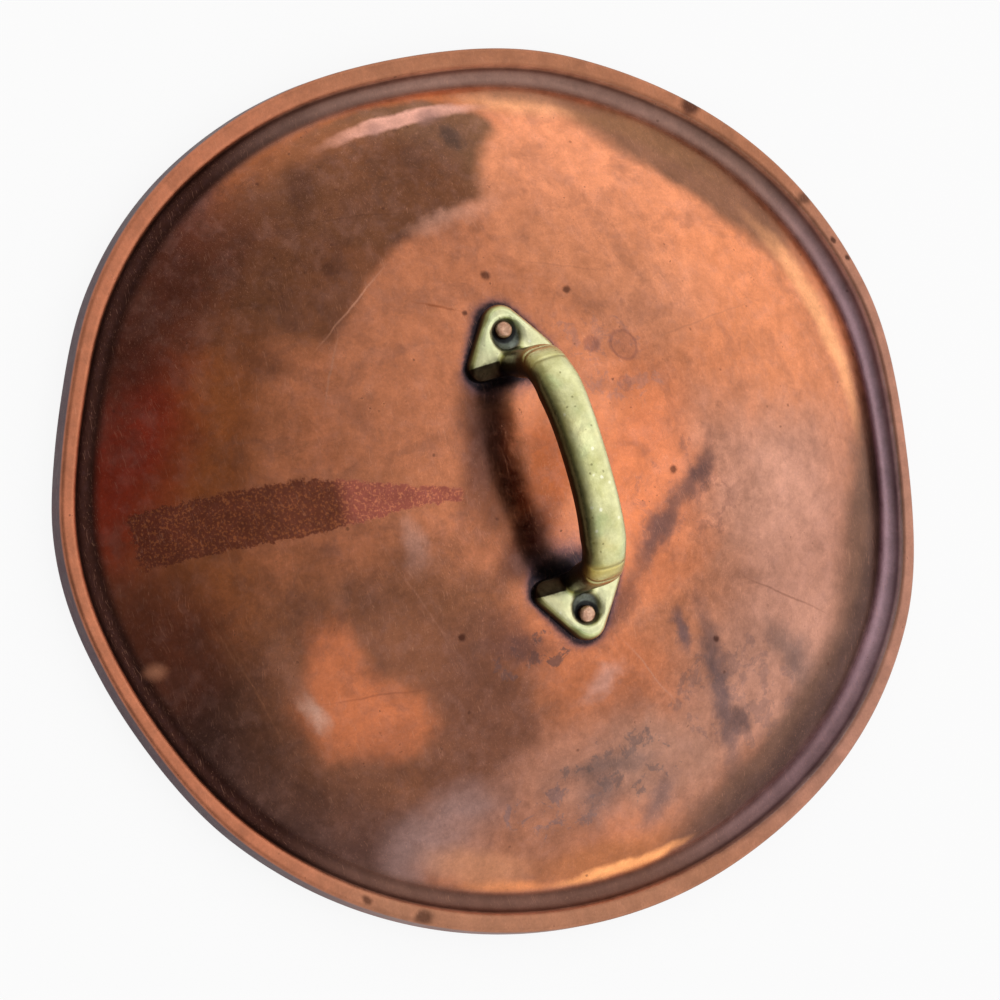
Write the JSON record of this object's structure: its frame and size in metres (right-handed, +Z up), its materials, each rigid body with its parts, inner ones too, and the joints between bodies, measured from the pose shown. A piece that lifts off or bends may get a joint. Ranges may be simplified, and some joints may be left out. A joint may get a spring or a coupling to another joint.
{
  "type": "copper casserole pan lid",
  "caption": "Domed copper lid for a casserole pan, with a turned-down rim, a gutter that seats inside the pan and a riveted brass bridge handle.",
  "frame": {"origin": "under the middle of the lid's outline, at the level of the skirt's foot, on which the lid rests", "axes": "+Z up out of the dome, X along the handle from foot to foot, +Y across it"},
  "size_m": [0.2906, 0.2962, 0.0745],
  "materials": {
    "copper_sheet": "spun copper sheet, worn polish with brown tarnish, tinned inside",
    "cast_brass": "cast brass, dull olive tarnish, worn bright at the bends",
    "rivet_copper": "hammered copper, dull"
  },
  "bodies": {
    "root": {"lid_body": "copper_sheet", "handle": "cast_brass", "handle_rivet_1": "rivet_copper", "handle_rivet_2": "rivet_copper"}
  },
  "joints": []
}
